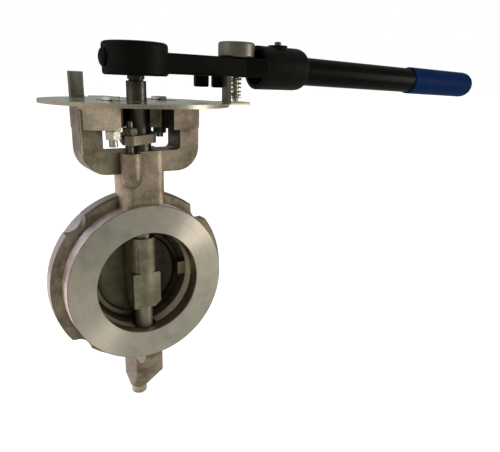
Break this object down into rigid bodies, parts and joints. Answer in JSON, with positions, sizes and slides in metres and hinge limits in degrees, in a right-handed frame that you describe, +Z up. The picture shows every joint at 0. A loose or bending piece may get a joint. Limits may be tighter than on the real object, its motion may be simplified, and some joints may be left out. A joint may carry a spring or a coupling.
{
  "type": "wafer butterfly valve",
  "caption": "Wafer butterfly valve with a cast ring body, offset disc, stem with packed gland, open yoke, notched stop plate and a spring-locked lever with a sleeved tube handle.",
  "frame": {"origin": "where the stem's axis meets the axis of the bore", "axes": "+Z up the stem, +Y along the pipe from the shaft side to the seat side, +X along the lever when the disc is shut"},
  "size_m": [0.4646, 0.162, 0.293],
  "materials": {
    "cast_stainless": "bead-blasted stainless casting, faces turned",
    "disc_casting": "cast stainless, edge turned",
    "turned_stainless": "turned",
    "plate_stainless": "bright sheet",
    "bright_fastener": "bright",
    "seat_ptfe": "satin",
    "packing_ptfe": "matt",
    "bearing_liner": "matt",
    "lever_paint": "satin black paint on a casting",
    "tube_paint": "satin black paint on tube",
    "grip_vinyl": "satin dipped vinyl",
    "spring_steel": "bright wire"
  },
  "bodies": {
    "body": {"valve_body": "cast_stainless", "seat_ring": "seat_ptfe", "seat_retainer": "turned_stainless", "retainer_screw_1": "bright_fastener", "retainer_screw_2": "bright_fastener", "retainer_screw_3": "bright_fastener", "retainer_screw_4": "bright_fastener", "upper_bearing": "bearing_liner", "lower_bearing": "bearing_liner", "thrust_pad": "bearing_liner", "packing_spacer": "turned_stainless", "packing_ring_1": "packing_ptfe", "packing_ring_2": "packing_ptfe", "packing_ring_3": "packing_ptfe", "bottom_plug": "cast_stainless", "gland_flange": "cast_stainless", "gland_follower": "turned_stainless", "gland_stud_front": "bright_fastener", "gland_stud_rear": "bright_fastener", "gland_nut_front": "bright_fastener", "gland_nut_rear": "bright_fastener", "notch_plate": "plate_stainless", "plate_bolt_front": "bright_fastener", "plate_bolt_rear": "bright_fastener", "plate_nut_front": "bright_fastener", "plate_nut_rear": "bright_fastener"},
    "rotor": {"disc": "disc_casting", "stem": "turned_stainless", "disc_pin_1": "turned_stainless", "disc_pin_2": "turned_stainless", "lever_key": "bright_fastener", "lever_casting": "lever_paint", "clamp_screw": "lever_paint", "lever_tube": "tube_paint", "grip_sleeve": "grip_vinyl", "socket_screw": "bright_fastener", "lock_spring": "spring_steel"},
    "lock_pin_set": {"lock_pin": "bright_fastener", "lock_knob": "turned_stainless", "pin_clip": "bright_fastener"}
  },
  "joints": [
    {"name": "stem_turn", "type": "hinge", "parent": "body", "child": "rotor", "pos_m": [0, 0, 0], "axis": [0, 0, 1], "range_deg": [0, 90]},
    {"name": "lock_pin_lift", "type": "slide", "parent": "rotor", "child": "lock_pin_set", "axis": [0, 0, 1], "range_m": [0, 0.006], "stiffness_N_per_m": 900, "springref_m": -0.004, "deforming": ["lock_spring"]}
  ]
}
